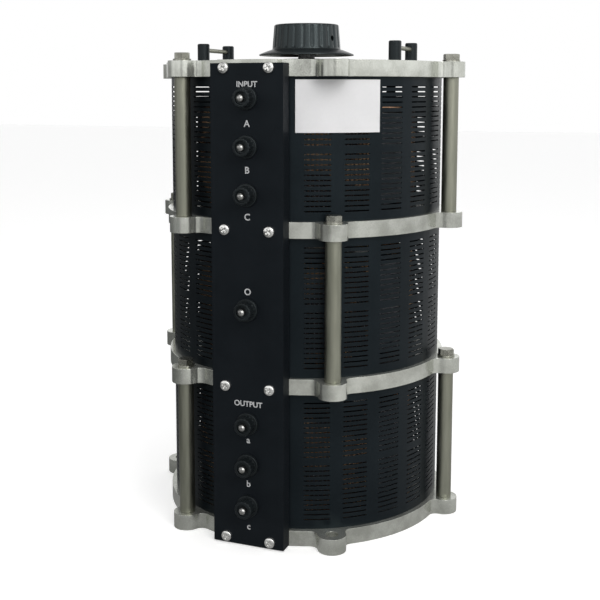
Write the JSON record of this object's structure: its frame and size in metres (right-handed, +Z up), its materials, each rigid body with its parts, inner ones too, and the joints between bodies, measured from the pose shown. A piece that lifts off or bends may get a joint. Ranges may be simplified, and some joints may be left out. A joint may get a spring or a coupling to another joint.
{
  "type": "variable autotransformer",
  "caption": "Open-frame three-phase variable autotransformer: three slotted coil tiers between cast plates on tie posts, one rotary knob on top and a terminal panel down the front.",
  "frame": {"origin": "centre of the base casting's underside, on the shaft's axis", "axes": "+Z up along the shaft, -Y towards the terminal panel, +X to the right of someone facing the panel"},
  "size_m": [0.305, 0.2907, 0.458],
  "materials": {
    "casting": "fine cast, satin",
    "zinc_steel": "satin zinc plate",
    "bright_steel": "bright nickel plate",
    "steel": "ground",
    "cover_paint": "gloss enamel",
    "plate_paint": "white, satin",
    "phenolic": "moulded phenolic",
    "black_plastic": "moulded, semi-gloss",
    "copper": "enamelled copper wire",
    "core_steel": "wound electrical steel strip",
    "brass": "turned brass",
    "carbon": "carbon",
    "arm_metal": "die cast"
  },
  "bodies": {
    "frame": {"post_bolts": "bright_steel", "post_washers": "bright_steel", "clamp_screws": "zinc_steel", "nameplate": "plate_paint", "terminal_panel": "cover_paint", "panel_screws": "bright_steel", "terminal_barrels": "black_plastic", "terminal_studs": "bright_steel", "terminal_nuts": "brass", "shaft_bushes": "brass", "bearing_cap": "black_plastic", "stop_peg": "steel", "handle_ferrules": "black_plastic", "handle_rods": "zinc_steel", "contact_fingers": "brass", "base_casting": "casting", "lower_casting": "casting", "upper_casting": "casting", "top_casting": "casting", "lower_posts": "zinc_steel", "lower_seat": "phenolic", "lower_winding": "copper", "lower_core": "core_steel", "lower_clamp": "phenolic", "lower_cover": "cover_paint", "middle_posts": "zinc_steel", "middle_seat": "phenolic", "middle_winding": "copper", "middle_core": "core_steel", "middle_clamp": "phenolic", "middle_cover": "cover_paint", "upper_posts": "zinc_steel", "upper_seat": "phenolic", "upper_winding": "copper", "upper_core": "core_steel", "upper_clamp": "phenolic", "upper_cover": "cover_paint"},
    "rotor": {"shaft": "steel", "stop_collar": "steel", "knob": "black_plastic", "knob_screw": "steel", "brush_springs": "steel", "lower_brush_arm": "arm_metal", "lower_brush_holder": "brass", "lower_brush": "carbon", "lower_slip_ring": "brass", "middle_brush_arm": "arm_metal", "middle_brush_holder": "brass", "middle_brush": "carbon", "middle_slip_ring": "brass", "upper_brush_arm": "arm_metal", "upper_brush_holder": "brass", "upper_brush": "carbon", "upper_slip_ring": "brass"}
  },
  "joints": [
    {"name": "rotor_turn", "type": "hinge", "parent": "frame", "child": "rotor", "pos_m": [0, 0, 0], "axis": [0, 0, -1], "range_deg": [0, 320]}
  ]
}
